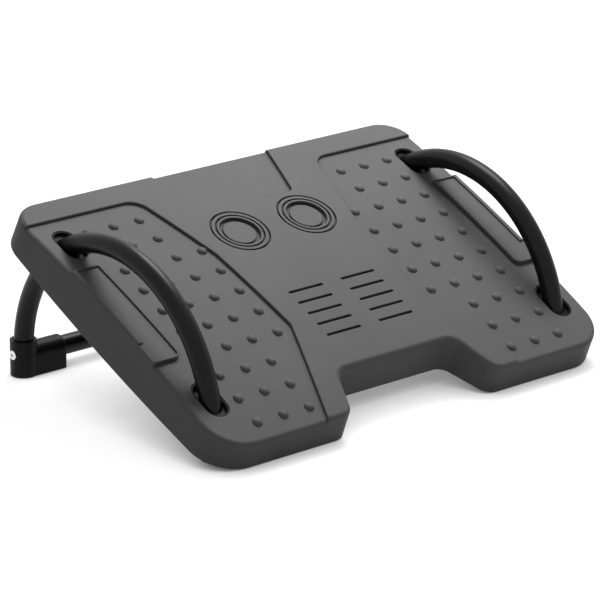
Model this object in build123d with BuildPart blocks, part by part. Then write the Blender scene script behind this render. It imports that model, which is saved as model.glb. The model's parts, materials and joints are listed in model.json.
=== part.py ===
import os
from math import asin, cos, degrees, hypot, radians, sin, sqrt, tan

from build123d import *

os.makedirs("parts", exist_ok=True)

# Footplate plan at the top of its walls
plate_width = 454
plate_depth = 331
rear_corner = 28
front_corner = 36
notch_depth = 47
notch_inner_half = 68
notch_mouth_half = 85
notch_inner_round = 15
notch_outer_round = 14

# Footplate section, heights measured from the top of the crown of the foot panels
crown_radius = 1714
belly_radius = 2435
skirt_drop = 41
skirt_draft = 2.7
wall = 3
edge_round = 4.5
hem_round = 1.2

# Raised centre panel and rear band, which border the two sunken foot panels
panel_step = 2.8
step_round = 1.2
rear_band = 27.5
panel_rear_half = 105
panel_hip = (82, 45)
panel_waist = (74, -57)
panel_front_half = 113
panel_corner_round = 18
panel_hip_round = 40
panel_waist_round = 8

# Shallow sunken field at the middle of the rear band
field_depth = 3.4
field_round = 8
field_length = 65.5
field_rear_half = 69
field_front_half = 50
field_corner = 8

# Massage bumps on the foot panels, on a square grid wherever they have room
bump_diameter = 10
bump_height = 3
bump_root = 1
bump_foot = 0.2
bump_pitch = 28.7
bump_inner_half = 90.4
bump_rear_margin = 25.3
bump_step_gap = 0.5
bump_slot_gap = 6
bump_front_gap = 6

# Ring motifs and vents on the centre panel
ring_half = 39.1
ring_y = 65.9
ring_radii = (28.5, 23.6)
ring_groove = 1.8
ring_groove_depth = 2.2
dish_radius = 19.4
dish_depth = 1.7
disc_radius = 15.6
moat_depth = 3.2
vent_length = 39.5
vent_width = 2.8
vent_half = 30.4
vent_rear_y = -22.2
vent_pitch = 14.4
vent_rows = 5

# Side ledges between the arch slots: raised trays with a thin lip, and a soft rim along the outer edge
ledge_rear_y = 68
ledge_front_y = -59
ledge_width = 30
ledge_rise = 3.4
ledge_corner = 7
lip_width = 1.8
tray_rise = 2
rim_width = 5.5
rim_length = 102
rim_round = 2.5

# Ribs under the deck
rib_width = 2
rib_drop = 20
rib_end_gap = 9
cross_rib_ys = (24, -96)
long_rib_xs = (62, 126)

# Bent tubes
tube_diameter = 18.4
tube_wall = 1.5
arch_inset = 25.3
pivot_drop = 89.1
pivot_setback = 3.1
rest_tilt = 24.4
floor_gap = 0.5
fit = 0.2

# Arch slots in the deck and the guide bushes under them
slot_inset = 56
slot_length = 42
slot_width = 23
slot_level = 5.2
running_gap = 0.3
collar_gap = 0.4
collar_depth = 8
liner_wall = 1.2
liner_sink = 0.8
flange_depth = 14
flange_thickness = 2.5
flange_width = 29
flange_end = 6
bush_wall = 2.8
bush_low_angle = 32
head_gap = 1
boss_diameter = 8
screw_shank = 3
screw_head = 6.5
screw_head_height = 2
screw_bite = 6.5
thread_gap = 0.1

# Rear elbows
socket_diameter = 24.6
socket_height = 34
sleeve_length = 40
sleeve_width = 23
bar_height = 18.3
tube_stop = 6
web = 3
elbow_lift = 0.8
elbow_round = 1.2

# Elbow bolts and the plugs they thread into
bolt_rise = 2.7
bolt_diameter = 5
bolt_hole = 5.5
bolt_length = 35
head_diameter = 9
head_height = 2.8
head_round = 1
head_pocket = 10
head_sink = 2.3
hex_size = 3
hex_depth = 1.8
plug_length = 20

# Rubber: pads under the elbows, tips on the front ends of the arches
pad_thickness = 2
pad_inset = 3
tip_height = 24
tip_wall = 1.6
tip_floor = 4
tip_round = 1.5

tube_radius = tube_diameter / 2
socket_radius = socket_diameter / 2
half_width = plate_width / 2
half_depth = plate_depth / 2
tilt = radians(rest_tilt)
draft = radians(skirt_draft)
bump_radius = bump_diameter / 2

# Both arches are centred on the pivot line and cross the deck at the middle of their slots
arch_half = half_width - arch_inset
slot_spread = half_depth - slot_inset - pivot_setback
arch_radius = hypot(slot_spread, pivot_drop - slot_level)
slot_ys = {"rear": slot_spread - pivot_setback, "front": -slot_spread - pivot_setback}
sides = (("left", -1), ("right", 1))


def crown_z(y, rise=0):
    return sqrt((crown_radius + rise) ** 2 - y**2) - crown_radius


def belly_z(y):
    return belly_radius - skirt_drop - sqrt(belly_radius**2 - y**2)


# The front hem of the tilted plate clears the floor by floor_gap, which sets the pivot's height
hem_z = belly_z(half_depth)
hem_y = hem_z * tan(draft) - half_depth
pivot_height = floor_gap - (pivot_setback + hem_y) * sin(tilt) - (pivot_drop + hem_z) * cos(tilt)


def front_reach(rise):
    z = crown_z(half_depth - edge_round, rise - edge_round)
    y = edge_round / cos(draft) - half_depth + z * tan(draft)
    return (pivot_drop + z) * sin(tilt) - (pivot_setback + y) * cos(tilt) + edge_round


# The origin is on the floor at the middle of the overall length
rear_reach = arch_radius + socket_radius
pivot_y = (max(front_reach(0), front_reach(panel_step)) - rear_reach) / 2
rear_y = pivot_y + arch_radius
front_y = pivot_y - arch_radius

# The deck plane touches the crown of the foot panels above the middle of the plate
deck = Plane(
    origin=(
        0,
        pivot_y + pivot_setback * cos(tilt) - pivot_drop * sin(tilt),
        pivot_height + pivot_setback * sin(tilt) + pivot_drop * cos(tilt),
    ),
    x_dir=(1, 0, 0),
    z_dir=(0, -sin(tilt), cos(tilt)),
)
pivot_axis = Axis((0, -pivot_setback, -pivot_drop), (1, 0, 0))

# The bush screws stand clear of the sleeve where it leans furthest out beside their heads
sleeve_radius = tube_radius + running_gap + bush_wall
head_drop = flange_depth + flange_thickness + screw_head_height
sleeve_lean = asin((pivot_drop - head_drop) / arch_radius)
sleeve_reach = arch_radius * cos(sleeve_lean) + sleeve_radius / cos(sleeve_lean) - slot_spread
screw_spread = sleeve_reach + head_gap + screw_head / 2
flange_length = 2 * (screw_spread + flange_end)


def plate_outline(inset=0):
    with BuildSketch() as outline:
        with BuildLine():
            FilletPolyline(
                (-half_width, half_depth),
                (half_width, half_depth),
                (half_width, -half_depth),
                (notch_mouth_half, -half_depth),
                (notch_inner_half, notch_depth - half_depth),
                (-notch_inner_half, notch_depth - half_depth),
                (-notch_mouth_half, -half_depth),
                (-half_width, -half_depth),
                radius=(
                    [rear_corner] * 2
                    + [front_corner, notch_outer_round]
                    + [notch_inner_round] * 2
                    + [notch_outer_round, front_corner]
                ),
                close=True,
            )
        make_face()
        if inset:
            offset(amount=-inset, mode=Mode.REPLACE)
    return outline.sketch


def foot_panels(grow=0):
    margin = 2 * rear_corner
    slope = (panel_front_half - panel_waist[0]) / (half_depth + panel_waist[1])
    with BuildSketch() as panels:
        with BuildLine():
            FilletPolyline(
                (half_width + margin, half_depth - rear_band),
                (panel_rear_half, half_depth - rear_band),
                panel_hip,
                panel_waist,
                (panel_front_half + slope * margin, -half_depth - margin),
                (half_width + margin, -half_depth - margin),
                radius=[0, panel_corner_round, panel_hip_round, panel_waist_round, 0, 0],
                close=True,
            )
        make_face()
        if grow:
            offset(amount=grow, mode=Mode.REPLACE)
        mirror(about=Plane.YZ)
    return panels.sketch


def rear_field(grow=0):
    rear_y_end = half_depth + rear_corner
    slope = (field_rear_half - field_front_half) / field_length
    mouth_half = field_rear_half + slope * rear_corner
    with BuildSketch() as field:
        with BuildLine():
            FilletPolyline(
                (-mouth_half, rear_y_end),
                (mouth_half, rear_y_end),
                (field_front_half, half_depth - field_length),
                (-field_front_half, half_depth - field_length),
                radius=[0, 0, field_corner, field_corner],
                close=True,
            )
        make_face()
        if grow:
            offset(amount=grow, mode=Mode.REPLACE)
    return field.sketch


def ring_motifs():
    with BuildSketch() as rings:
        with Locations((-ring_half, ring_y), (ring_half, ring_y)):
            for radius in ring_radii:
                Circle(radius)
                Circle(radius - ring_groove, mode=Mode.SUBTRACT)
    return rings.sketch


def discs(radius, bore=0):
    with BuildSketch() as pair:
        with Locations((-ring_half, ring_y), (ring_half, ring_y)):
            Circle(radius)
            if bore:
                Circle(bore, mode=Mode.SUBTRACT)
    return pair.sketch


def vent_pad():
    vent_span = (vent_rows - 1) * vent_pitch
    with BuildSketch() as pad:
        with Locations((0, vent_rear_y - vent_span / 2)):
            Rectangle(2 * (vent_half + wall) + vent_length, vent_span + vent_width + 2 * wall)
    return pad.sketch


def crowned_block(outline, rise, drop):
    block_top = skirt_drop / 2
    with BuildPart() as block:
        with BuildSketch(Plane.XY.offset(block_top)):
            add(outline)
            offset(amount=-block_top * tan(draft), mode=Mode.REPLACE)
        extrude(amount=-block_top - 2 * skirt_drop, taper=-skirt_draft)
        with Locations((0, 0, -crown_radius)):
            Cylinder(crown_radius + rise, 2 * plate_width, rotation=(0, 90, 0), mode=Mode.INTERSECT)
            Cylinder(crown_radius - drop, 2 * plate_width, rotation=(0, 90, 0), mode=Mode.SUBTRACT)
    return block.part


def rounded_block(rise, drop, radius=edge_round):
    with BuildPart() as block:
        add(crowned_block(plate_outline(), rise, drop))
        fillet(block.faces().sort_by(Axis.Z)[-1].edges(), radius)
    return block.part


def above_crown(outline, rise):
    with BuildPart() as cutter:
        extrude(outline, amount=skirt_drop / 2, both=True)
        with Locations((0, 0, -crown_radius)):
            Cylinder(crown_radius + rise, 2 * plate_width, rotation=(0, 90, 0), mode=Mode.SUBTRACT)
    return cutter.part


def ledge_outline():
    with BuildSketch() as outline:
        with Locations((half_width - ledge_width / 2, (ledge_rear_y + ledge_front_y) / 2)):
            Rectangle(ledge_width, ledge_rear_y - ledge_front_y)
        fillet(outline.vertices().group_by(Axis.X)[0].sort_by(Axis.Y)[0], ledge_corner)
    return outline.sketch


def tray_outline():
    inner_x = half_width - ledge_width + lip_width
    rim_x = half_width - rim_width
    rear_y_end = ledge_rear_y - lip_width
    rim_y_end = ledge_rear_y - rim_length
    front_y_end = ledge_front_y + lip_width
    with BuildSketch() as tray:
        with BuildLine():
            FilletPolyline(
                (inner_x, rear_y_end),
                (rim_x, rear_y_end),
                (rim_x, rim_y_end),
                (half_width + rim_width, rim_y_end),
                (half_width + rim_width, front_y_end),
                (inner_x, front_y_end),
                radius=[0, 0, 0, 0, 0, ledge_corner - lip_width],
                close=True,
            )
        make_face()
    return tray.sketch


def panel_edge_x(y):
    rear = (panel_rear_half, half_depth - rear_band)
    front = (panel_front_half, -half_depth)
    corners = [rear, panel_hip, panel_waist, front]
    for (x1, y1), (x2, y2) in zip(corners, corners[1:]):
        if y >= y2:
            return x1 + (x2 - x1) * (y - y1) / (y2 - y1)
    return panel_front_half


def slot_centres():
    return [(sign * arch_half, y) for _, sign in sides for y in slot_ys.values()]


def screw_points():
    return [(x, y + way * screw_spread) for x, y in slot_centres() for way in (-1, 1)]


# One massage bump: a shallow dome on a short round foot
with BuildPart() as bump:
    with BuildSketch(Plane.XZ):
        with BuildLine():
            Polyline(
                (0, bump_height),
                (0, -bump_root),
                (bump_radius, -bump_root),
                (bump_radius, bump_foot),
            )
            dome_height = bump_height - bump_foot
            dome_radius = (bump_radius**2 + dome_height**2) / (2 * dome_height)
            RadiusArc((bump_radius, bump_foot), (0, bump_height), -dome_radius)
        make_face()
    revolve(axis=Axis.Z)

# The bumps stand square to the crown
bump_rear_y = half_depth - rear_band - bump_rear_margin
bump_reach_x = arch_half - slot_width / 2 - bump_slot_gap - bump_radius - bump_inner_half
bump_reach_y = bump_rear_y + half_depth - edge_round - bump_front_gap - bump_radius
bump_places = []
for column in range(int(bump_reach_x / bump_pitch) + 1):
    for row in range(int(bump_reach_y / bump_pitch) + 1):
        x = bump_inner_half + column * bump_pitch
        y = bump_rear_y - row * bump_pitch
        lean = -degrees(asin(y / crown_radius))
        if x - bump_radius > panel_edge_x(y) + bump_step_gap:
            bump_places += [Location((sign * x, y, crown_z(y)), (lean, 0, 0)) for _, sign in sides]

# Sunken foot panels: the full outline, crowned, with a soft upper edge and a rounded hem
with BuildPart() as lower_body:
    add(rounded_block(0, 1.5 * skirt_drop))
    with Locations((0, 0, belly_radius - skirt_drop)):
        Cylinder(belly_radius, 2 * plate_width, rotation=(0, -90, 0), mode=Mode.INTERSECT)
    fillet(lower_body.faces().sort_by(Axis.Z)[0].edges(), hem_round)
    with Locations(*bump_places):
        add(bump.part)

# The shallow field takes the rear band down to a lower deck with a softer edge
with BuildPart() as field_cutter:
    extrude(rear_field(), amount=skirt_drop / 3, both=True)
    add(rounded_block(panel_step - field_depth, skirt_drop / 2, field_round), mode=Mode.SUBTRACT)

# Raised centre panel and rear band
with BuildPart() as upper_body:
    add(rounded_block(panel_step, skirt_drop / 2))
    extrude(foot_panels(), amount=skirt_drop, both=True, mode=Mode.SUBTRACT)
    panel_top = upper_body.faces().sort_by(Axis.Z)[-1]
    fillet(panel_top.edges() & upper_body.edges(Select.LAST), step_round)
    add(field_cutter.part, mode=Mode.SUBTRACT)

# One side ledge, rounded over where its rim meets the plate's wall
with BuildPart() as ledge:
    add(crowned_block(ledge_outline(), ledge_rise, edge_round + wall))
    fillet(ledge.faces().sort_by(Axis.Z)[-1].edges().sort_by(Axis.X)[-1], rim_round)
    add(above_crown(tray_outline(), tray_rise), mode=Mode.SUBTRACT)

# Extra hollow under the raised panel, which keeps its wall even away from the rings and vents
with BuildPart() as panel_hollow:
    add(crowned_block(plate_outline(wall), panel_step - wall, skirt_drop / 2))
    for solid_area in (foot_panels(wall), rear_field(wall), discs(max(ring_radii) + wall), vent_pad()):
        extrude(solid_area, amount=skirt_drop, both=True, mode=Mode.SUBTRACT)

# The hollow under the deck, with the ribs and screw bosses left standing in it
rib_span = 2 * (arch_half - flange_width / 2 - rib_end_gap)
with BuildPart() as hollow:
    add(crowned_block(plate_outline(wall), -wall, 1.5 * skirt_drop))
    add(panel_hollow.part)
    with Locations(*[(0, y, 0) for y in cross_rib_ys]):
        Box(rib_span, rib_width, 2 * rib_drop, mode=Mode.SUBTRACT)
    with Locations(*[(sign * x, 0, 0) for x in long_rib_xs for _, sign in sides]):
        Box(rib_width, plate_depth, 2 * rib_drop, mode=Mode.SUBTRACT)
    with Locations(*screw_points()):
        Cylinder(boss_diameter / 2, 2 * flange_depth, mode=Mode.SUBTRACT)

# The footplate laid flat, with its crown touching the XY plane
with BuildPart() as flat_plate:
    add(lower_body.part)
    add(upper_body.part)
    add(ledge.part)
    add(mirror(ledge.part, about=Plane.YZ, mode=Mode.PRIVATE))
    add(hollow.part, mode=Mode.SUBTRACT)
    add(above_crown(ring_motifs(), panel_step - ring_groove_depth), mode=Mode.SUBTRACT)
    add(above_crown(discs(dish_radius), panel_step - dish_depth), mode=Mode.SUBTRACT)
    add(above_crown(discs(dish_radius, disc_radius), panel_step - moat_depth), mode=Mode.SUBTRACT)
    with BuildSketch() as vents:
        for row in range(vent_rows):
            with Locations((-vent_half, vent_rear_y - row * vent_pitch)):
                SlotOverall(vent_length, vent_width)
            with Locations((vent_half, vent_rear_y - row * vent_pitch)):
                SlotOverall(vent_length, vent_width)
    extrude(amount=skirt_drop / 2, both=True, mode=Mode.SUBTRACT)
    with BuildSketch() as arch_slots:
        with Locations(*slot_centres()):
            SlotOverall(slot_length, slot_width, rotation=90)
    extrude(amount=skirt_drop / 2, both=True, mode=Mode.SUBTRACT)
    with Locations(*[(x, y, -flange_depth + screw_bite / 2) for x, y in screw_points()]):
        Cylinder(screw_shank / 2 + thread_gap, screw_bite, mode=Mode.SUBTRACT)

with BuildPart(deck) as footplate:
    add(flat_plate.part)
footplate.part.label = "footplate"
export_step(footplate.part, "parts/footplate.step")


def bent_rod(x, start, arc, radius):
    angle = radians(start)
    with BuildPart() as rod:
        with BuildSketch(
            Plane(
                origin=(x, arch_radius * cos(angle) - pivot_setback, arch_radius * sin(angle) - pivot_drop),
                x_dir=(1, 0, 0),
                z_dir=(0, -sin(angle), cos(angle)),
            )
        ):
            Circle(radius)
        revolve(axis=pivot_axis, revolution_arc=arc)
    return rod.part


# Guide bushes: a collar and a thin liner in the slot, a screwed flange and a sleeve that follows the arch
liner_inset = 2 * (collar_gap + liner_wall)
bush_top_angle = degrees(asin(pivot_drop / arch_radius))
bush_arc = bush_top_angle - bush_low_angle
for side, sign in sides:
    for end, slot_y in slot_ys.items():
        bush_x = sign * arch_half
        start = bush_low_angle if end == "rear" else 180 - bush_top_angle
        with BuildPart() as flat_bush:
            add(bent_rod(bush_x, start, bush_arc, sleeve_radius))
            split(bisect_by=Plane.XY.offset(-flange_depth), keep=Keep.BOTTOM)
            with BuildSketch(Plane.XY.offset(-flange_depth)):
                with Locations((bush_x, slot_y)):
                    RectangleRounded(flange_width, flange_length, flange_end)
            extrude(amount=-flange_thickness)
            with BuildSketch(Plane.XY.offset(-flange_depth)):
                with Locations((bush_x, slot_y)):
                    SlotOverall(slot_length - 2 * collar_gap, slot_width - 2 * collar_gap, rotation=90)
            extrude(amount=flange_depth)
            with BuildSketch(Plane.XY.offset(-collar_depth)):
                with Locations((bush_x, slot_y)):
                    SlotOverall(slot_length - liner_inset, slot_width - liner_inset, rotation=90)
            extrude(amount=collar_depth, mode=Mode.SUBTRACT)
            with Locations((0, 0, -crown_radius)):
                Cylinder(
                    crown_radius - liner_sink, 2 * plate_width, rotation=(0, 90, 0), mode=Mode.INTERSECT
                )
            add(bent_rod(bush_x, 0, 180, tube_radius + running_gap), mode=Mode.SUBTRACT)
            with Locations(*[(bush_x, slot_y + way * screw_spread, -flange_depth) for way in (-1, 1)]):
                Hole(screw_shank / 2 + thread_gap)
        with BuildPart(deck) as bush:
            add(flat_bush.part)
        bush.part.label = f"{end}_{side}_guide_bush"
        export_step(bush.part, f"parts/{end}_{side}_guide_bush.step")

        with BuildPart() as flat_screws:
            seat_z = -flange_depth - flange_thickness
            with Locations(*[(bush_x, slot_y + way * screw_spread, seat_z) for way in (-1, 1)]):
                Cylinder(
                    screw_head / 2, screw_head_height, align=(Align.CENTER, Align.CENTER, Align.MAX)
                )
                Cylinder(
                    screw_shank / 2,
                    flange_thickness + screw_bite - thread_gap,
                    align=(Align.CENTER, Align.CENTER, Align.MIN),
                )
        with BuildPart(deck) as bush_screws:
            add(flat_screws.part)
        bush_screws.part.label = f"{end}_{side}_bush_screws"
        export_step(bush_screws.part, f"parts/{end}_{side}_bush_screws.step")


def arch_rod(sign, radius):
    side_plane = Plane.YZ.offset(sign * arch_half)
    with BuildPart() as rod:
        with BuildLine(side_plane.shift_origin((sign * arch_half, pivot_y, 0))) as route:
            Line((-arch_radius, tip_floor), (-arch_radius, pivot_height))
            ThreePointArc(
                (-arch_radius, pivot_height),
                (0, pivot_height + arch_radius),
                (arch_radius, pivot_height),
            )
            Line((arch_radius, pivot_height), (arch_radius, tube_stop))
        with BuildSketch(Plane(origin=route.line @ 0, z_dir=route.line % 0)):
            Circle(radius)
        sweep()
    return rod.part


bar_half = arch_half - tube_radius - fit - web

# Rear cross tube, which joins the two elbows just above the floor
with BuildPart() as cross_tube:
    with BuildSketch(Plane.YZ.offset(-bar_half)):
        with Locations((rear_y, bar_height)):
            Circle(tube_radius)
            Circle(tube_radius - tube_wall, mode=Mode.SUBTRACT)
    extrude(amount=2 * bar_half)
cross_tube.part.label = "rear_cross_tube"
export_step(cross_tube.part, "parts/rear_cross_tube.step")

for side, sign in sides:
    arch_x = sign * arch_half
    outer_x = sign * (arch_half + socket_radius)
    bolt_height = bar_height + bolt_rise
    bolt_plane = Plane(origin=(outer_x, rear_y, bolt_height), z_dir=(sign, 0, 0))
    bar_end = Plane(origin=(sign * bar_half, rear_y, bar_height), z_dir=(-sign, 0, 0))

    with BuildPart() as arch_tube:
        add(arch_rod(sign, tube_radius))
        add(arch_rod(sign, tube_radius - tube_wall), mode=Mode.SUBTRACT)
        with BuildSketch(bolt_plane):
            Circle(bolt_hole / 2)
        extrude(amount=-2 * socket_radius - web, mode=Mode.SUBTRACT)
    arch_tube.part.label = f"{side}_arch_tube"
    export_step(arch_tube.part, f"parts/{side}_arch_tube.step")

    # Elbow: an upright socket and an arched sleeve on one flat base
    with BuildPart() as elbow:
        with BuildSketch(Plane.XY.offset(elbow_lift)):
            with Locations((arch_x, rear_y)):
                Circle(socket_radius)
        extrude(amount=socket_height - elbow_lift)
        with BuildSketch(Plane.YZ.offset(arch_x)):
            with Locations((rear_y, bar_height)):
                Circle(sleeve_width / 2)
            with Locations((rear_y, (elbow_lift + bar_height) / 2)):
                Rectangle(sleeve_width, bar_height - elbow_lift)
        extrude(amount=-sign * sleeve_length)
        sleeve_mouth = elbow.faces().filter_by(Axis.X).sort_by(Axis.X)[-1 if sign < 0 else 0]
        fillet(sleeve_mouth.edges(), elbow_round)
        add(arch_rod(sign, tube_radius + fit), mode=Mode.SUBTRACT)
        with BuildSketch(bar_end):
            Circle(tube_radius + fit)
        extrude(amount=sleeve_length, mode=Mode.SUBTRACT)
        with BuildSketch(bolt_plane):
            Circle(bolt_hole / 2)
        extrude(amount=-2 * socket_radius - web, mode=Mode.SUBTRACT)
        with BuildSketch(bolt_plane):
            Circle(head_pocket / 2)
        extrude(amount=-head_sink, mode=Mode.SUBTRACT)
        with BuildSketch(Plane.XY):
            with Locations((arch_x, rear_y)):
                Circle(socket_radius - pad_inset + fit)
            with Locations((arch_x - sign * (sleeve_length - pad_inset + fit) / 2, rear_y)):
                Rectangle(sleeve_length - pad_inset + fit, sleeve_width - 2 * (pad_inset - fit))
        extrude(amount=pad_thickness, mode=Mode.SUBTRACT)
    elbow.part.label = f"rear_{side}_elbow"
    export_step(elbow.part, f"parts/rear_{side}_elbow.step")

    with BuildPart() as foot_pad:
        with BuildSketch(Plane.XY):
            with Locations((arch_x, rear_y)):
                Circle(socket_radius - pad_inset)
            with Locations((arch_x - sign * (sleeve_length - pad_inset) / 2, rear_y)):
                Rectangle(sleeve_length - pad_inset, sleeve_width - 2 * pad_inset)
        extrude(amount=pad_thickness)
    foot_pad.part.label = f"rear_{side}_foot_pad"
    export_step(foot_pad.part, f"parts/rear_{side}_foot_pad.step")

    # Button-head bolt that pins the arch in its socket and pulls the cross tube home
    with BuildPart() as bolt:
        with BuildSketch(bolt_plane.offset(-head_sink)):
            Circle(head_diameter / 2)
        extrude(amount=head_height)
        fillet(bolt.edges().sort_by(Axis.X)[-1 if sign > 0 else 0], head_round)
        with BuildSketch(bolt_plane.offset(-head_sink)):
            Circle(bolt_diameter / 2)
        extrude(amount=-bolt_length)
        with BuildSketch(bolt_plane.offset(head_height - head_sink)):
            RegularPolygon(hex_size / 2, 6, major_radius=False)
        extrude(amount=-hex_depth, mode=Mode.SUBTRACT)
    bolt.part.label = f"{side}_elbow_bolt"
    export_step(bolt.part, f"parts/{side}_elbow_bolt.step")

    with BuildPart() as plug:
        with BuildSketch(bar_end):
            Circle(tube_radius - tube_wall - thread_gap)
        extrude(amount=plug_length)
        with BuildSketch(bolt_plane):
            Circle(bolt_diameter / 2 + thread_gap)
        extrude(amount=-2 * (socket_radius + plug_length), mode=Mode.SUBTRACT)
    plug.part.label = f"{side}_tube_plug"
    export_step(plug.part, f"parts/{side}_tube_plug.step")

    # Rubber tip that the front end of the arch stands on
    with BuildPart() as tip:
        with BuildSketch(Plane.XY):
            with Locations((arch_x, front_y)):
                Circle(tube_radius + fit + tip_wall)
        extrude(amount=tip_height)
        fillet(tip.edges().filter_by(GeomType.CIRCLE), tip_round)
        add(arch_rod(sign, tube_radius + fit), mode=Mode.SUBTRACT)
    tip.part.label = f"front_{side}_tip"
    export_step(tip.part, f"parts/front_{side}_tip.step")
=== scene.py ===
import json
import math

import bmesh
import bpy
from mathutils import Matrix, Vector
from mathutils.kdtree import KDTree


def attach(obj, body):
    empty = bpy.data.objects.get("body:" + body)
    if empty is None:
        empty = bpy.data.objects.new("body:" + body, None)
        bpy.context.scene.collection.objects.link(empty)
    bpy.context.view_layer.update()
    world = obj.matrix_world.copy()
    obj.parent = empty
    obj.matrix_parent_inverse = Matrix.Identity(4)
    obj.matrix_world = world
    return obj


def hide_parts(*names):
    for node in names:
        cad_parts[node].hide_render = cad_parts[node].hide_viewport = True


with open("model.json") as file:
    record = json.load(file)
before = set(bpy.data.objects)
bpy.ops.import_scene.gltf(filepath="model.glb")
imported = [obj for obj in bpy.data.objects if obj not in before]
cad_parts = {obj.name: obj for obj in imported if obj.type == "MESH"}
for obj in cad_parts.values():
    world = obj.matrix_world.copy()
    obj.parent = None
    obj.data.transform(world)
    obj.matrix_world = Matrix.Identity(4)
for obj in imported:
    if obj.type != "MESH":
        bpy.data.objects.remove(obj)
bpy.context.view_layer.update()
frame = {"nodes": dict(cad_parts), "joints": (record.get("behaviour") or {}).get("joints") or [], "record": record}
scene = bpy.context.scene
print("stage: frame loaded,", len(frame["nodes"]), "nodes")

# The deck plane touches the crown of the foot panels above the plate's middle, with Z along its normal
deck = {"tilt": 24.4, "pivotSetback": 0.0031, "pivotDrop": 0.0891, "crownRadius": 1.714}
pivot = Vector(frame["joints"][0]["pos_m"])
deckPlace = (
    Matrix.Translation(pivot)
    @ Matrix.Rotation(math.radians(deck["tilt"]), 4, "X")
    @ Matrix.Translation((0, deck["pivotSetback"], deck["pivotDrop"]))
)
toDeck = deckPlace.inverted()
deckUp = deckPlace.to_3x3() @ Vector((0, 0, 1))


def crownHeight(y):
    return math.sqrt(deck["crownRadius"] ** 2 - y**2) - deck["crownRadius"]


def newMaterial(name, color, roughness, metallic=0.0):
    material = bpy.data.materials.new(name)
    material.use_nodes = True
    tree = material.node_tree
    shader = tree.nodes["Principled BSDF"]
    shader.inputs["Base Color"].default_value = (*color, 1)
    shader.inputs["Roughness"].default_value = roughness
    shader.inputs["Metallic"].default_value = metallic
    return material, tree, shader


def addNoise(tree, scale, detail, stretch=(1, 1, 1)):
    coords = tree.nodes.new("ShaderNodeTexCoord")
    mapping = tree.nodes.new("ShaderNodeMapping")
    mapping.inputs["Scale"].default_value = stretch
    noise = tree.nodes.new("ShaderNodeTexNoise")
    noise.inputs["Scale"].default_value = scale
    noise.inputs["Detail"].default_value = detail
    tree.links.new(coords.outputs["Object"], mapping.inputs["Vector"])
    tree.links.new(mapping.outputs["Vector"], noise.inputs["Vector"])
    return noise.outputs["Fac"]


noiseSpan = (0.3, 0.7)  # where most of a noise's values lie
noiseDetail = {"mottle": 4, "grain": 3, "streaks": 2}
edgeSamples = 6


def addRange(tree, source, low, high, span=noiseSpan):
    spread = tree.nodes.new("ShaderNodeMapRange")
    spread.inputs["From Min"].default_value = span[0]
    spread.inputs["From Max"].default_value = span[1]
    spread.inputs["To Min"].default_value = low
    spread.inputs["To Max"].default_value = high
    tree.links.new(source, spread.inputs["Value"])
    return spread.outputs["Result"]


def addTint(tree, source, darkColor, paleColor):
    ramp = tree.nodes.new("ShaderNodeValToRGB")
    for element, position, color in zip(ramp.color_ramp.elements, noiseSpan, (darkColor, paleColor)):
        element.position = position
        element.color = (*color, 1)
    tree.links.new(source, ramp.inputs["Fac"])
    return ramp.outputs["Color"]


def addBump(tree, shader, source, depth, edgeRound):
    bump = tree.nodes.new("ShaderNodeBump")
    bump.inputs["Strength"].default_value = 1.0
    bump.inputs["Distance"].default_value = depth
    tree.links.new(source, bump.inputs["Height"])
    if edgeRound:
        softEdge = tree.nodes.new("ShaderNodeBevel")
        softEdge.samples = edgeSamples
        softEdge.inputs["Radius"].default_value = edgeRound
        tree.links.new(softEdge.outputs["Normal"], bump.inputs["Normal"])
    tree.links.new(bump.outputs["Normal"], shader.inputs["Normal"])


# Painted shade: darkens a tint by ambient occlusion in grooves and at the foot of steps, where shade falls
def addPaintedCreviceShade(tree, tint, reach):
    paintedCreviceShade = tree.nodes.new("ShaderNodeAmbientOcclusion")
    paintedCreviceShade.samples = edgeSamples
    paintedCreviceShade.only_local = True
    paintedCreviceShade.inputs["Distance"].default_value = reach
    tree.links.new(tint, paintedCreviceShade.inputs["Color"])
    return paintedCreviceShade.outputs["Color"]


def mouldedFinish(name, finish):
    material, tree, shader = newMaterial(name, finish["color"], finish["roughness"][0])
    mottle = addNoise(tree, finish["mottleScale"], noiseDetail["mottle"])
    tint = addTint(tree, mottle, finish["color"], finish["paleColor"])
    # Painted shade: ambient occlusion darkens the tint in grooves and at the foot of steps
    if "crevice" in finish:
        tint = addPaintedCreviceShade(tree, tint, finish["crevice"])
    tree.links.new(tint, shader.inputs["Base Color"])
    grain = addNoise(tree, finish["grainScale"], noiseDetail["grain"])
    tree.links.new(addRange(tree, grain, *finish["roughness"]), shader.inputs["Roughness"])
    addBump(tree, shader, grain, finish["grainDepth"], finish["edgeRound"])
    shader.inputs["Specular IOR Level"].default_value = finish["specular"]
    return material


def platedFinish(name, finish):
    material, tree, shader = newMaterial(name, finish["color"], finish["roughness"][0], 1.0)
    streaks = addNoise(tree, finish["streakScale"], noiseDetail["streaks"], finish["stretch"])
    tint = addTint(tree, streaks, finish["dullColor"], finish["color"])
    tree.links.new(tint, shader.inputs["Base Color"])
    tree.links.new(addRange(tree, streaks, *finish["roughness"]), shader.inputs["Roughness"])
    addBump(tree, shader, streaks, finish["streakDepth"], finish["edgeRound"])
    return material


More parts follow.
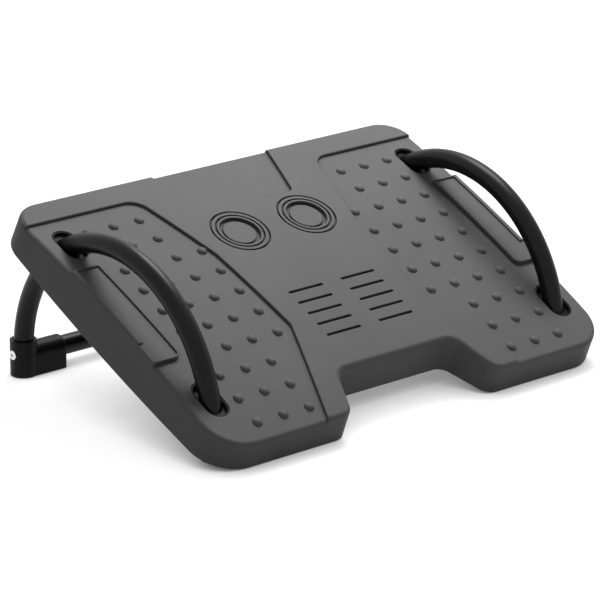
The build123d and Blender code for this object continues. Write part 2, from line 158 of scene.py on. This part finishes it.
plateFinish = {
    "color": (0.160, 0.160, 0.162), "paleColor": (0.176, 0.176, 0.178), "roughness": (0.56, 0.68),
    "mottleScale": 14, "grainScale": 1500, "grainDepth": 0.00005, "edgeRound": 0.0014, "specular": 0.2,
    # Reach of the painted shade that darkens grooves and step feet
    "crevice": 0.005,
}
tubeFinish = {
    "color": (0.004, 0.004, 0.005), "paleColor": (0.007, 0.007, 0.008), "roughness": (0.31, 0.37),
    "mottleScale": 30, "grainScale": 700, "grainDepth": 0.00001, "edgeRound": 0.0, "specular": 0.18,
}
elbowFinish = {
    "color": (0.004, 0.004, 0.005), "paleColor": (0.006, 0.006, 0.007), "roughness": (0.42, 0.52),
    "mottleScale": 40, "grainScale": 1800, "grainDepth": 0.00004, "edgeRound": 0.0006, "specular": 0.15,
}
bushFinish = {
    "color": (0.004, 0.004, 0.005), "paleColor": (0.006, 0.006, 0.007), "roughness": (0.45, 0.55),
    "mottleScale": 60, "grainScale": 2200, "grainDepth": 0.00003, "edgeRound": 0.0003, "specular": 0.1,
}
rubberFinish = {
    "color": (0.010, 0.010, 0.010), "paleColor": (0.016, 0.016, 0.016), "roughness": (0.75, 0.90),
    "mottleScale": 90, "grainScale": 900, "grainDepth": 0.00008, "edgeRound": 0.0005, "specular": 0.2,
}
boltFinish = {
    "color": (0.78, 0.78, 0.77), "dullColor": (0.62, 0.62, 0.62), "roughness": (0.24, 0.38),
    "streakScale": 900, "stretch": (1, 1, 0.2), "streakDepth": 0.00001, "edgeRound": 0.0003,
}
screwFinish = {
    "color": (0.60, 0.60, 0.58), "dullColor": (0.45, 0.45, 0.44), "roughness": (0.30, 0.45),
    "streakScale": 1200, "stretch": (1, 1, 1), "streakDepth": 0.00001, "edgeRound": 0.0002,
}
slotLooks = {
    "plate_plastic": mouldedFinish("platePlastic", plateFinish),
    "tube_paint": mouldedFinish("tubePaint", tubeFinish),
    "elbow_plastic": mouldedFinish("elbowPlastic", elbowFinish),
    "bush_plastic": mouldedFinish("bushPlastic", bushFinish),
    "foot_rubber": mouldedFinish("footRubber", rubberFinish),
    "bolt_steel": platedFinish("boltSteel", boltFinish),
    "screw_steel": platedFinish("screwSteel", screwFinish),
}
nodeSlots = {part["node"]: part["material_slot"] for part in frame["record"]["subparts"]}
bodyNodes = frame["record"]["behaviour"]["bodies"]
nodeBodies = {node: body for body, nodes in bodyNodes.items() for node in nodes}
print("stage: materials made,", len(slotLooks), "finishes")


def addPiece(name, mesh, slotName, bodyName, nodes=()):
    mesh.name = name
    piece = bpy.data.objects.new(name, mesh)
    scene.collection.objects.link(piece)
    mesh.materials.clear()
    mesh.materials.append(slotLooks[slotName])
    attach(piece, bodyName)
    if nodes:
        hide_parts(*nodes)
    return piece


def bakeModifiers(piece):
    bpy.context.view_layer.update()
    graph = bpy.context.evaluated_depsgraph_get()
    mesh = bpy.data.meshes.new_from_object(piece.evaluated_get(graph))
    old = piece.data
    piece.modifiers.clear()
    bpy.data.objects.remove(piece)
    bpy.data.meshes.remove(old)
    return mesh


def newTree(name, inputs):
    tree = bpy.data.node_groups.new(name, "GeometryNodeTree")
    tree.is_modifier = True
    tree.interface.new_socket("Geometry", in_out="INPUT", socket_type="NodeSocketGeometry")
    for label, kind in inputs.items():
        tree.interface.new_socket(label, in_out="INPUT", socket_type="NodeSocket" + kind)
    tree.interface.new_socket("Geometry", in_out="OUTPUT", socket_type="NodeSocketGeometry")
    return tree, tree.nodes.new("NodeGroupInput").outputs, tree.nodes.new("NodeGroupOutput").inputs


def addNode(tree, kind, wires, output=0, **settings):
    node = tree.nodes.new(kind)
    for key, value in settings.items():
        setattr(node, key, value)
    for socket, source in wires.items():
        if isinstance(source, bpy.types.NodeSocket):
            tree.links.new(source, node.inputs[socket])
        else:
            node.inputs[socket].default_value = source
    return node.outputs[output]


def endTree(tree, source, finish, leaving):
    smooth = addNode(tree, "GeometryNodeSetShadeSmooth", {"Geometry": source})
    real = addNode(tree, "GeometryNodeRealizeInstances", {"Geometry": smooth})
    painted = addNode(tree, "GeometryNodeSetMaterial", {"Geometry": real, "Material": finish})
    tree.links.new(painted, leaving["Geometry"])


def runTree(tree, guideMesh, values):
    guide = bpy.data.objects.new(guideMesh.name, guideMesh)
    scene.collection.objects.link(guide)
    build = guide.modifiers.new("build", "NODES")
    build.node_group = tree
    for item in tree.interface.items_tree:
        if item.in_out == "INPUT" and item.name in values:
            build[item.identifier] = values[item.name]
    return bakeModifiers(guide)


# A round cap on the XY plane whose height follows a profile from its middle to its rim
def addDome(tree, radius, height, sides, rings, profile):
    cone = addNode(tree, "GeometryNodeMeshCone", {
        "Vertices": sides, "Side Segments": rings, "Radius Top": 0.0, "Radius Bottom": radius,
        "Depth": height,
    })
    place = addNode(tree, "GeometryNodeInputPosition", {})
    flat = addNode(tree, "ShaderNodeVectorMath", {0: place, 1: (1, 1, 0)}, operation="MULTIPLY")
    reach = addNode(tree, "ShaderNodeVectorMath", {0: flat}, "Value", operation="LENGTH")
    share = addNode(tree, "ShaderNodeMath", {0: reach, 1: radius}, operation="DIVIDE")
    curve = addNode(tree, "ShaderNodeFloatCurve", {"Value": share})
    points = curve.node.mapping.curves[0].points
    points[0].location = profile[0]
    points[1].location = profile[-1]
    for point in profile[1:-1]:
        points.new(*point)
    curve.node.mapping.update()
    rise = addNode(tree, "ShaderNodeMath", {0: curve, 1: height}, operation="MULTIPLY")
    lift = addNode(tree, "ShaderNodeCombineXYZ", {"Z": rise})
    moved = addNode(tree, "ShaderNodeVectorMath", {0: flat, 1: lift}, operation="ADD")
    return addNode(tree, "GeometryNodeSetPosition", {"Geometry": cone, "Position": moved})


# Sets an instance on each point, with its Z along the point's lean
def addOnPoints(tree, points, instance):
    lean = addNode(tree, "GeometryNodeInputNamedAttribute", {"Name": "lean"}, data_type="FLOAT_VECTOR")
    turn = addNode(tree, "FunctionNodeAlignRotationToVector", {"Vector": lean}, axis="Z")
    return addNode(tree, "GeometryNodeInstanceOnPoints", {
        "Points": points, "Instance": instance, "Rotation": turn,
    })


def guidePoints(name, places, leans):
    mesh = bpy.data.meshes.new(name)
    mesh.from_pydata([tuple(place) for place in places], [], [])
    lean = mesh.attributes.new("lean", "FLOAT_VECTOR", "POINT")
    lean.data.foreach_set("vector", [part for direction in leans for part in direction])
    return mesh


# Merged copies of the solids, smooth across their tangent faces
copying = {"weld": 0.000002, "sharpAngle": 28}


def weldedMesh(node):
    mesh = frame["nodes"][node].data.copy()
    if "custom_normal" in mesh.attributes:
        mesh.attributes.remove(mesh.attributes["custom_normal"])
    bm = bmesh.new()
    bm.from_mesh(mesh)
    bmesh.ops.remove_doubles(bm, verts=bm.verts, dist=copying["weld"])
    bmesh.ops.dissolve_degenerate(bm, edges=bm.edges, dist=copying["weld"])
    bm.to_mesh(mesh)
    bm.free()
    return mesh


def smoothByAngle(mesh):
    mesh.polygons.foreach_set("use_smooth", [True] * len(mesh.polygons))
    mesh.set_sharp_from_angle(angle=math.radians(copying["sharpAngle"]))


def weighNormals(mesh):
    smoothByAngle(mesh)
    holder = bpy.data.objects.new("holder", mesh)
    scene.collection.objects.link(holder)
    weigh = holder.modifiers.new("weigh", "WEIGHTED_NORMAL")
    weigh.keep_sharp = True
    weigh.mode = "FACE_AREA_WITH_ANGLE"
    return bakeModifiers(holder)


# Massage bumps: a square grid on each foot panel, kept where it clears the step of the centre panel
bumps = {
    "radius": 0.0050, "height": 0.003, "sides": 28, "rings": 12, "pitch": 0.0287, "columns": 4,
    "rows": 10, "innerHalf": 0.0904, "rearY": 0.1127, "stepRoom": 0.0055, "sink": 0.00005,
    "panelEdge": ((0.105, 0.138), (0.082, 0.045), (0.074, -0.057), (0.113, -0.1655)),
    "profile": ((0, 1), (0.35, 0.945), (0.6, 0.79), (0.78, 0.53), (0.88, 0.27), (0.94, 0.08), (1, 0)),
}


def panelEdgeX(y):
    edge = bumps["panelEdge"]
    for (x1, y1), (x2, y2) in zip(edge, edge[1:]):
        if y >= y2:
            return x1 + (x2 - x1) * (y - y1) / (y2 - y1)
    return edge[-1][0]


def bumpCentres():
    centres = []
    for column in range(bumps["columns"]):
        for row in range(bumps["rows"]):
            x = bumps["innerHalf"] + column * bumps["pitch"]
            y = bumps["rearY"] - row * bumps["pitch"]
            if x > panelEdgeX(y) + bumps["stepRoom"]:
                centres += [Vector((side * x, y, crownHeight(y))) for side in (-1, 1)]
    return centres


def bumpTree():
    inputs = {"Radius": "Float", "Height": "Float", "Sides": "Int", "Rings": "Int", "Finish": "Material"}
    tree, given, leaving = newTree("massageBumps", inputs)
    sizes = [given[label] for label in ("Radius", "Height", "Sides", "Rings")]
    dome = addDome(tree, *sizes, bumps["profile"])
    endTree(tree, addOnPoints(tree, given["Geometry"], dome), given["Finish"], leaving)
    return tree


centres = bumpCentres()
crownLeans = [Vector((0, centre.y / deck["crownRadius"], 1)) for centre in centres]
leans = [(deckPlace.to_3x3() @ lean).normalized() for lean in crownLeans]
feet = [deckPlace @ centre - lean * bumps["sink"] for centre, lean in zip(centres, leans)]
bumpMesh = runTree(bumpTree(), guidePoints("massageBumps", feet, leans), {
    "Radius": bumps["radius"], "Height": bumps["height"], "Sides": bumps["sides"],
    "Rings": bumps["rings"], "Finish": slotLooks["plate_plastic"],
})
smoothByAngle(bumpMesh)
addPiece("massageBumps", bumpMesh, "plate_plastic", "platform")
print("stage: massage bumps made,", len(centres))

# The plate's shell, with the solid's own bumps taken off and their places closed
shell = {"rimReach": 0.0054, "skin": 0.00003}


def bareShell(mesh):
    tree = KDTree(len(centres))
    for n, centre in enumerate(centres):
        tree.insert((centre.x, centre.y, 0), n)
    tree.balance()
    bm = bmesh.new()
    bm.from_mesh(mesh)
    rises = {}
    for vert in bm.verts:
        place = toDeck @ vert.co
        if tree.find((place.x, place.y, 0))[2] < shell["rimReach"]:
            rises[vert] = place.z - crownHeight(place.y)
    rims = [vert for vert, rise in rises.items() if abs(rise) <= shell["skin"]]
    raised = [vert for vert, rise in rises.items() if rise > shell["skin"]]
    bmesh.ops.delete(bm, geom=raised, context="VERTS")
    edges = {edge for vert in rims for edge in vert.link_edges if edge.is_boundary}
    closed = bmesh.ops.holes_fill(bm, edges=list(edges), sides=0)["faces"]
    bm.normal_update()
    bmesh.ops.reverse_faces(bm, faces=[face for face in closed if face.normal.dot(deckUp) < 0])
    bm.to_mesh(mesh)
    bm.free()
    print("shell: bump places closed,", len(closed))
    return mesh


shellMesh = weighNormals(bareShell(weldedMesh("footplate")))
addPiece("footplate", shellMesh, "plate_plastic", "platform", ["footplate"])
print("stage: footplate made")

# Arch tubes: a front leg, half a turn about the pivot line and a rear leg, swept with a round section
arches = {
    "half": 0.2017, "turnRadius": 0.1354997, "tubeRadius": 0.0092, "frontEnd": 0.004,
    "rearEnd": 0.006, "arcSteps": 144, "legSteps": 4, "sides": 40,
}


def archRoute(side):
    radius = arches["turnRadius"]
    steps = arches["legSteps"]
    frontRise = pivot.z - arches["frontEnd"]
    front = [(-radius, arches["frontEnd"] + frontRise * n / steps) for n in range(steps)]
    turns = [math.pi * (1 - n / arches["arcSteps"]) for n in range(arches["arcSteps"] + 1)]
    arc = [(radius * math.cos(turn), pivot.z + radius * math.sin(turn)) for turn in turns]
    rearRise = arches["rearEnd"] - pivot.z
    rear = [(radius, pivot.z + rearRise * n / steps) for n in range(1, steps + 1)]
    return [(side * arches["half"], pivot.y + y, z) for y, z in front + arc + rear]


def routeMesh(name, routes):
    places, links = [], []
    for route in routes:
        links += [(len(places) + n, len(places) + n + 1) for n in range(len(route) - 1)]
        places += route
    mesh = bpy.data.meshes.new(name)
    mesh.from_pydata(places, links, [])
    return mesh


def tubeTree():
    inputs = {"Tube Radius": "Float", "Sides": "Int", "Finish": "Material"}
    tree, given, leaving = newTree("archTubes", inputs)
    route = addNode(tree, "GeometryNodeMeshToCurve", {"Mesh": given["Geometry"]})
    section = addNode(tree, "GeometryNodeCurvePrimitiveCircle", {
        "Resolution": given["Sides"], "Radius": given["Tube Radius"],
    })
    tube = addNode(tree, "GeometryNodeCurveToMesh", {
        "Curve": route, "Profile Curve": section, "Fill Caps": True,
    })
    endTree(tree, tube, given["Finish"], leaving)
    return tree


def faceOutwards(mesh):
    bm = bmesh.new()
    bm.from_mesh(mesh)
    bmesh.ops.recalc_face_normals(bm, faces=bm.faces)
    bm.to_mesh(mesh)
    bm.free()


tubeMesh = runTree(tubeTree(), routeMesh("archTubes", [archRoute(-1), archRoute(1)]), {
    "Tube Radius": arches["tubeRadius"], "Sides": arches["sides"], "Finish": slotLooks["tube_paint"],
})
faceOutwards(tubeMesh)
smoothByAngle(tubeMesh)
addPiece("archTubes", tubeMesh, "tube_paint", "frame", ["left_arch_tube", "right_arch_tube"])
print("stage: arch tubes made")

# Bush screws: pan heads with a cross recess, two under each slot, heads down
screws = {
    "headRadius": 0.00325, "headHeight": 0.002, "shankRadius": 0.0015, "shankLength": 0.0089,
    "sides": 24, "rings": 8, "recessLength": 0.0036, "recessWidth": 0.0009, "recessDepth": 0.0011,
    "profile": ((0, 1), (0.5, 0.96), (0.8, 0.82), (0.94, 0.5), (1, 0)),
}
screwNodes = sorted(node for node in frame["nodes"] if node.endswith("bush_screws"))


def middle(values):
    return (min(values) + max(values)) / 2


def screwSeats():
    seats = []
    for node in screwNodes:
        places = [toDeck @ vert.co for vert in frame["nodes"][node].data.vertices]
        between = middle([p.y for p in places])
        front = [p for p in places if p.y < between]
        rear = [p for p in places if p.y >= between]
        for group in (front, rear):
            x, y = middle([p.x for p in group]), middle([p.y for p in group])
            z = min(p.z for p in group) + screws["headHeight"]
            seats.append(deckPlace @ Vector((x, y, z)))
    return seats


def screwTree():
    sizes = (
        "Head Radius", "Head Height", "Shank Radius", "Shank Length", "Recess Length", "Recess Width",
        "Recess Depth",
    )
    inputs = {size: "Float" for size in sizes} | {"Sides": "Int", "Rings": "Int", "Finish": "Material"}
    tree, given, leaving = newTree("bushScrews", inputs)
    headSizes = [given[label] for label in ("Head Radius", "Head Height", "Sides", "Rings")]
    head = addDome(tree, *headSizes, screws["profile"])
    # Each bar of the recess is centred on the head's top, so only half of its height cuts in
    deep = addNode(tree, "ShaderNodeMath", {0: given["Recess Depth"], 1: 2.0}, operation="MULTIPLY")
    top = addNode(tree, "ShaderNodeCombineXYZ", {"Z": given["Head Height"]})
    cut = head
    for across in ("X", "Y"):
        along = "Y" if across == "X" else "X"
        size = addNode(tree, "ShaderNodeCombineXYZ", {
            across: given["Recess Width"], along: given["Recess Length"], "Z": deep,
        })
        bar = addNode(tree, "GeometryNodeMeshCube", {"Size": size})
        raised = addNode(tree, "GeometryNodeTransform", {"Geometry": bar, "Translation": top})
        cut = addNode(
            tree, "GeometryNodeMeshBoolean", {0: cut, 1: raised}, operation="DIFFERENCE", solver="EXACT",
        )
    shank = addNode(tree, "GeometryNodeMeshCylinder", {
        "Vertices": given["Sides"], "Radius": given["Shank Radius"], "Depth": given["Shank Length"],
    })
    drop = addNode(tree, "ShaderNodeMath", {0: given["Shank Length"], 1: -0.5}, operation="MULTIPLY")
    under = addNode(tree, "ShaderNodeCombineXYZ", {"Z": drop})
    hung = addNode(tree, "GeometryNodeTransform", {"Geometry": shank, "Translation": under})
    whole = tree.nodes.new("GeometryNodeJoinGeometry")
    tree.links.new(cut, whole.inputs[0])
    tree.links.new(hung, whole.inputs[0])
    endTree(tree, addOnPoints(tree, given["Geometry"], whole.outputs[0]), given["Finish"], leaving)
    return tree


seats = screwSeats()
screwMesh = runTree(screwTree(), guidePoints("bushScrews", seats, [-deckUp] * len(seats)), {
    "Head Radius": screws["headRadius"], "Head Height": screws["headHeight"],
    "Shank Radius": screws["shankRadius"], "Shank Length": screws["shankLength"],
    "Recess Length": screws["recessLength"], "Recess Width": screws["recessWidth"],
    "Recess Depth": screws["recessDepth"], "Sides": screws["sides"], "Rings": screws["rings"],
    "Finish": slotLooks["screw_steel"],
})
smoothByAngle(screwMesh)
addPiece("bushScrews", screwMesh, "screw_steel", "platform", screwNodes)
print("stage: bush screws made,", len(seats))

# Bushes, elbows, bolts, plugs, the cross tube and the rubber feet
made = {"footplate", "left_arch_tube", "right_arch_tube", *screwNodes}
for nodeName in sorted(set(frame["nodes"]) - made):
    words = nodeName.split("_")
    pieceName = words[0] + "".join(word.capitalize() for word in words[1:])
    mesh = weighNormals(weldedMesh(nodeName))
    addPiece(pieceName, mesh, nodeSlots[nodeName], nodeBodies[nodeName], [nodeName])
print("stage: other pieces copied,", len(frame["nodes"]) - len(made))


# One for the rays that show the background: to the camera, in a reflection or through clear parts
def addSeenShare(tree):
    path = tree.nodes.new("ShaderNodeLightPath")
    share = path.outputs["Is Camera Ray"]
    for ray in ("Is Glossy Ray", "Is Transmission Ray"):
        joined = tree.nodes.new("ShaderNodeMath")
        joined.operation = "ADD"
        joined.use_clamp = True
        tree.links.new(share, joined.inputs[0])
        tree.links.new(path.outputs[ray], joined.inputs[1])
        share = joined.outputs["Value"]
    return share


# White floor with a painted shadow: ambient occlusion dims its glow under and beside the object, on top of the
# real shadow in its diffuse part
floorLook = {
    "half": 6.0, "color": (0.45, 0.45, 0.45), "glow": 0.92, "shadeReach": 0.15, "shade": 0.1,
    "clearSpan": (0.1, 0.75),
}


def floorMaterial():
    material = bpy.data.materials.new("paleFloor")
    material.use_nodes = True
    tree = material.node_tree
    tree.nodes.clear()
    output = tree.nodes.new("ShaderNodeOutputMaterial")
    diffuse = tree.nodes.new("ShaderNodeBsdfDiffuse")
    diffuse.inputs["Color"].default_value = (*floorLook["color"], 1)
    # Painted shadow: ambient occlusion darkens the floor's glow under and beside the object
    clear = tree.nodes.new("ShaderNodeAmbientOcclusion")
    clear.inputs["Distance"].default_value = floorLook["shadeReach"]
    glow = tree.nodes.new("ShaderNodeEmission")
    shade = addRange(tree, clear.outputs["AO"], floorLook["shade"], 1, floorLook["clearSpan"])
    tree.links.new(shade, glow.inputs["Color"])
    strength = addRange(tree, addSeenShare(tree), 0, floorLook["glow"], (0, 1))
    tree.links.new(strength, glow.inputs["Strength"])
    both = tree.nodes.new("ShaderNodeAddShader")
    tree.links.new(diffuse.outputs["BSDF"], both.inputs[0])
    tree.links.new(glow.outputs["Emission"], both.inputs[1])
    tree.links.new(both.outputs["Shader"], output.inputs["Surface"])
    return material


half = floorLook["half"]
corners = [(-half, -half, 0), (half, -half, 0), (half, half, 0), (-half, half, 0)]
floorMesh = bpy.data.meshes.new("floor")
floorMesh.from_pydata(corners, [], [range(len(corners))])
floorMesh.materials.append(floorMaterial())
floor = bpy.data.objects.new("floor", floorMesh)
scene.collection.objects.link(floor)

# White world, dimmer as a light than as a background
worldLook = {"strength": 0.18, "seen": 1.0}
world = bpy.data.worlds.new("studio")
world.use_nodes = True
sky = world.node_tree.nodes["Background"]
sky.inputs["Color"].default_value = (1, 1, 1, 1)
share = addSeenShare(world.node_tree)
skyStrength = addRange(world.node_tree, share, worldLook["strength"], worldLook["seen"], (0, 1))
world.node_tree.links.new(skyStrength, sky.inputs["Strength"])
scene.world = world

keyLamp = {"place": (0.44, 0.30, 1.10), "aim": (0, 0, 0.1), "size": 0.6, "power": 10.8}
light = bpy.data.lights.new("key", "AREA")
light.size = keyLamp["size"]
light.energy = keyLamp["power"]
lamp = bpy.data.objects.new("key", light)
lamp.location = keyLamp["place"]
aim = Vector(keyLamp["aim"]) - Vector(keyLamp["place"])
lamp.rotation_euler = aim.to_track_quat("-Z", "Y").to_euler()
scene.collection.objects.link(lamp)
print("stage: floor and light set")

# The camera's place and turn, measured on the deck plane
view = {
    "place": (-1.9318, -1.6332, 1.8239), "right": (0.7617, -0.58795, 0.27228),
    "up": (0.20687, 0.61891, 0.75774), "lens": 209.15, "sensor": 36,
}
right = Vector(view["right"])
up = Vector(view["up"])
turn = Matrix((right, up, right.cross(up))).transposed().to_4x4()
cameraData = bpy.data.cameras.new("camera")
cameraData.sensor_width = view["sensor"]
cameraData.lens = view["lens"]
camera = bpy.data.objects.new("camera", cameraData)
camera.matrix_world = deckPlace @ Matrix.Translation(view["place"]) @ turn
scene.collection.objects.link(camera)
scene.camera = camera
scene.view_settings.view_transform = "Standard"
print("stage: camera set")
